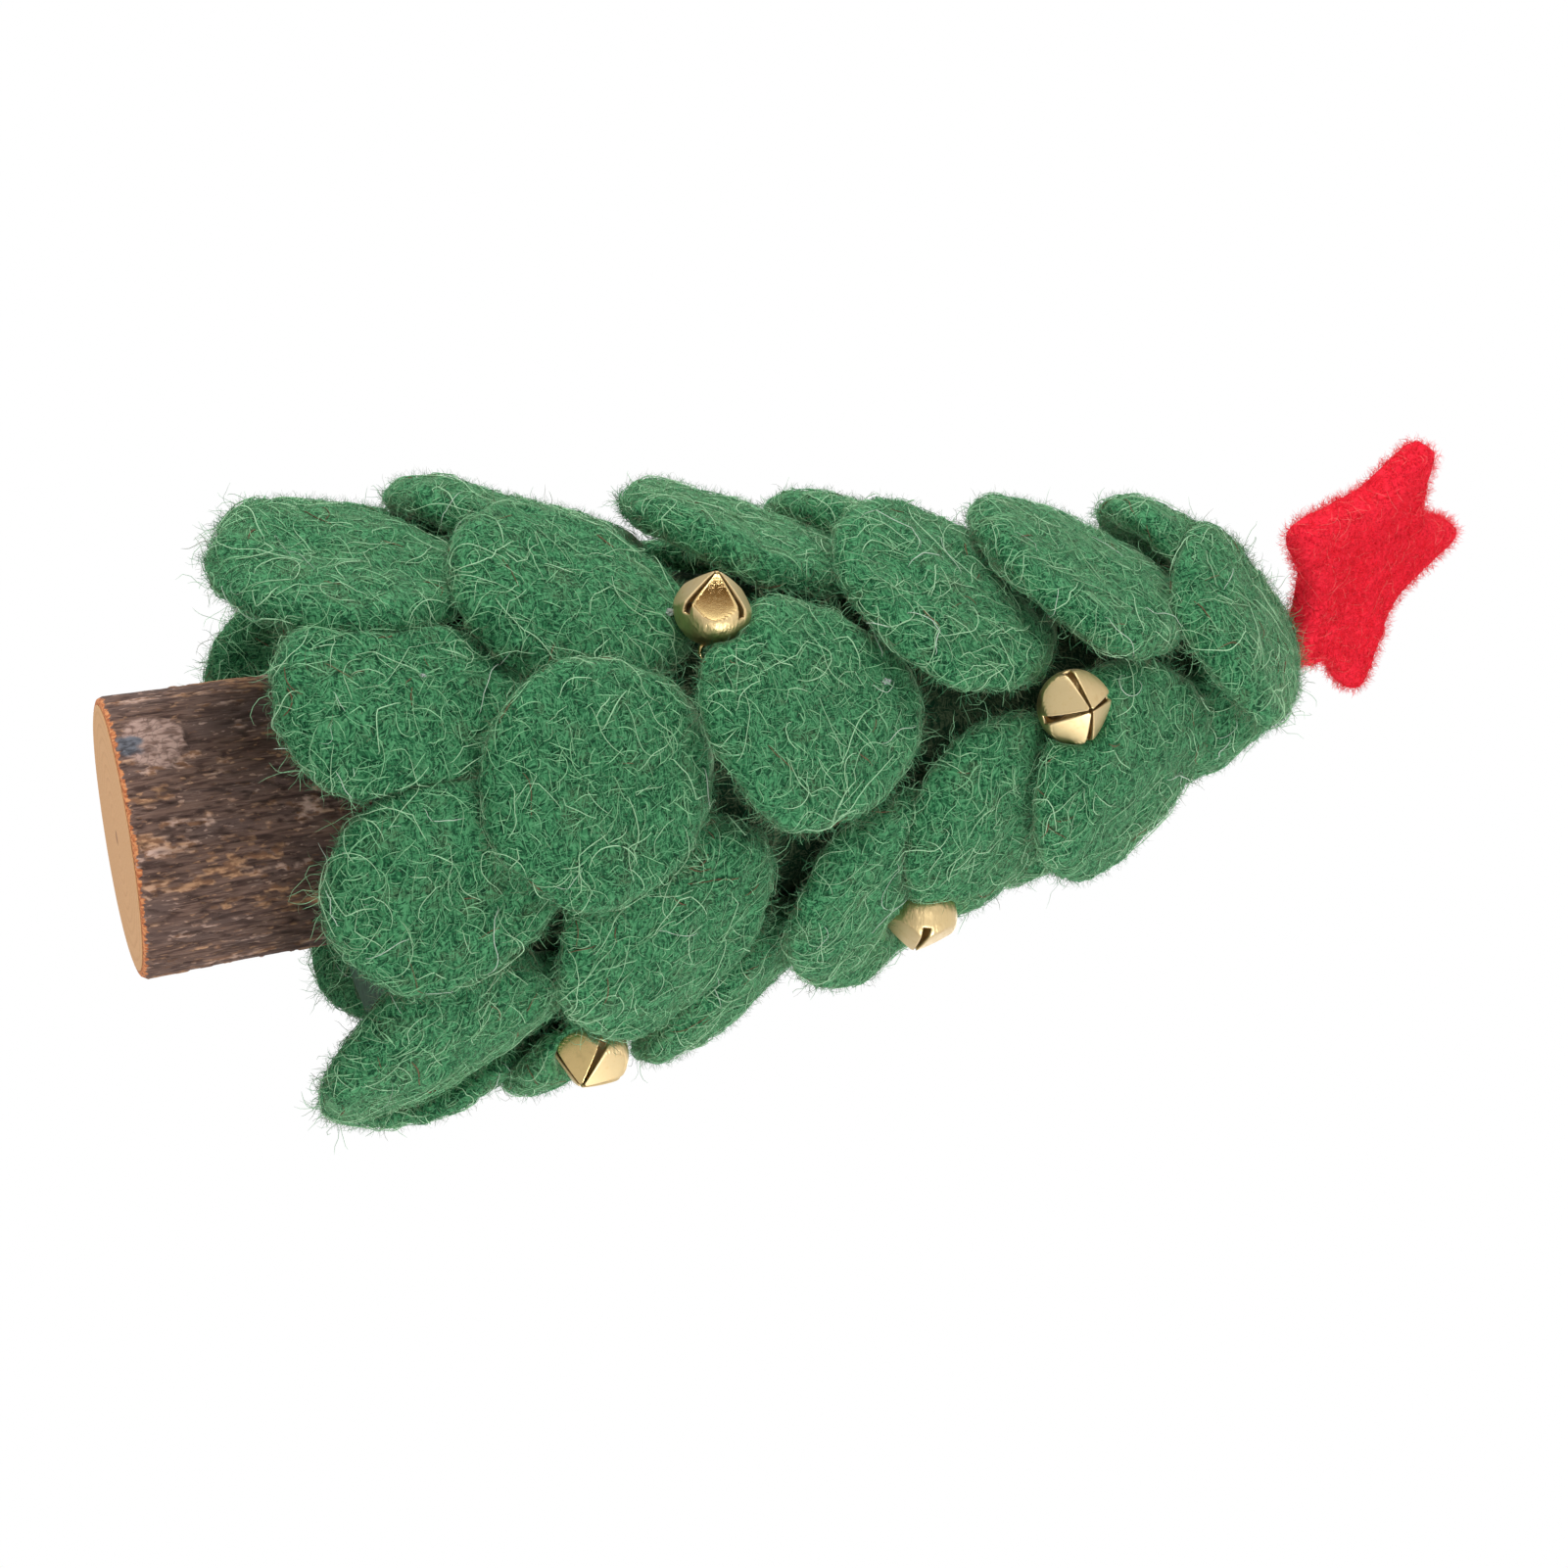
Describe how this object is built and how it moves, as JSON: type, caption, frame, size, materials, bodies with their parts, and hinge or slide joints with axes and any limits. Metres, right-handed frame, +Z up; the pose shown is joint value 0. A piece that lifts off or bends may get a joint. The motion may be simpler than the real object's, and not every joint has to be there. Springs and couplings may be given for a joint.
{
  "type": "felt christmas tree",
  "caption": "Table-top christmas tree of overlapping green felt petals round a cone, on a length of branch, with a red felt star and small jingle bells.",
  "frame": {"origin": "middle of the trunk's sawn foot, on the surface that the tree stands on", "axes": "+Z up along the trunk and the cone, -Y toward the side that the picture shows, +X to the viewer's right with the tree standing up"},
  "size_m": [0.0838, 0.0851, 0.1993],
  "materials": {
    "sawn_wood": "matte",
    "bark": "matte",
    "foam": "matte",
    "green_felt": "matte",
    "red_felt": "matte",
    "bell_brass": "polished",
    "pellet_steel": "satin"
  },
  "bodies": {
    "tree": {"trunk_log": "sawn_wood", "trunk_bark": "bark", "foam_cone": "foam", "felt_wrap": "green_felt", "felt_star": "red_felt", "petal_row1_01": "green_felt", "petal_row1_02": "green_felt", "petal_row1_03": "green_felt", "petal_row1_04": "green_felt", "petal_row1_05": "green_felt", "petal_row1_06": "green_felt", "petal_row1_07": "green_felt", "petal_row1_08": "green_felt", "petal_row2_01": "green_felt", "petal_row2_02": "green_felt", "petal_row2_03": "green_felt", "petal_row2_04": "green_felt", "petal_row2_05": "green_felt", "petal_row2_06": "green_felt", "petal_row2_07": "green_felt", "petal_row2_08": "green_felt", "petal_row3_01": "green_felt", "petal_row3_02": "green_felt", "petal_row3_03": "green_felt", "petal_row3_04": "green_felt", "petal_row3_05": "green_felt", "petal_row3_06": "green_felt", "petal_row4_01": "green_felt", "petal_row4_02": "green_felt", "petal_row4_03": "green_felt", "petal_row4_04": "green_felt", "petal_row4_05": "green_felt", "petal_row4_06": "green_felt", "petal_row5_01": "green_felt", "petal_row5_02": "green_felt", "petal_row5_03": "green_felt", "petal_row5_04": "green_felt", "petal_row6_01": "green_felt", "petal_row6_02": "green_felt", "petal_row6_03": "green_felt", "petal_row6_04": "green_felt", "bell_1_shell": "bell_brass", "bell_2_shell": "bell_brass", "bell_3_shell": "bell_brass", "bell_4_shell": "bell_brass", "bell_5_shell": "bell_brass", "bell_6_shell": "bell_brass", "bell_7_shell": "bell_brass", "bell_8_shell": "bell_brass"},
    "pellet_1": {"bell_1_pellet": "pellet_steel"},
    "pellet_2": {"bell_2_pellet": "pellet_steel"},
    "pellet_3": {"bell_3_pellet": "pellet_steel"},
    "pellet_4": {"bell_4_pellet": "pellet_steel"},
    "pellet_5": {"bell_5_pellet": "pellet_steel"},
    "pellet_6": {"bell_6_pellet": "pellet_steel"},
    "pellet_7": {"bell_7_pellet": "pellet_steel"},
    "pellet_8": {"bell_8_pellet": "pellet_steel"}
  },
  "joints": [
    {"name": "pellet_1_roll", "type": "hinge", "parent": "tree", "child": "pellet_1", "pos_m": [-0.01647, -0.02971, 0.07452], "axis": [-0.8661, -0.4801, 0.1392], "continuous": true},
    {"name": "pellet_2_roll", "type": "hinge", "parent": "tree", "child": "pellet_2", "pos_m": [0.00315, -0.02562, 0.12252], "axis": [0.1903, -0.9792, 0.0698], "continuous": true},
    {"name": "pellet_3_roll", "type": "hinge", "parent": "tree", "child": "pellet_3", "pos_m": [0.02756, -0.01003, 0.102], "axis": [0.9228, 0.2998, -0.2419], "continuous": true},
    {"name": "pellet_4_roll", "type": "hinge", "parent": "tree", "child": "pellet_4", "pos_m": [0.03764, -0.01079, 0.054], "axis": [0.7488, -0.4679, -0.4695], "continuous": true},
    {"name": "pellet_5_roll", "type": "hinge", "parent": "tree", "child": "pellet_5", "pos_m": [0.02056, 0.02728, 0.0768], "axis": [0.4981, 0.8627, 0.0872], "continuous": true},
    {"name": "pellet_6_roll", "type": "hinge", "parent": "tree", "child": "pellet_6", "pos_m": [0.00892, 0.0245, 0.1212], "axis": [0.4203, 0.9013, -0.1045], "continuous": true},
    {"name": "pellet_7_roll", "type": "hinge", "parent": "tree", "child": "pellet_7", "pos_m": [-0.02598, 0.015, 0.0996], "axis": [-0.821, 0.5538, -0.1392], "continuous": true},
    {"name": "pellet_8_roll", "type": "hinge", "parent": "tree", "child": "pellet_8", "pos_m": [-0.0169, 0.03625, 0.054], "axis": [-0.4891, 0.8471, -0.2079], "continuous": true}
  ]
}
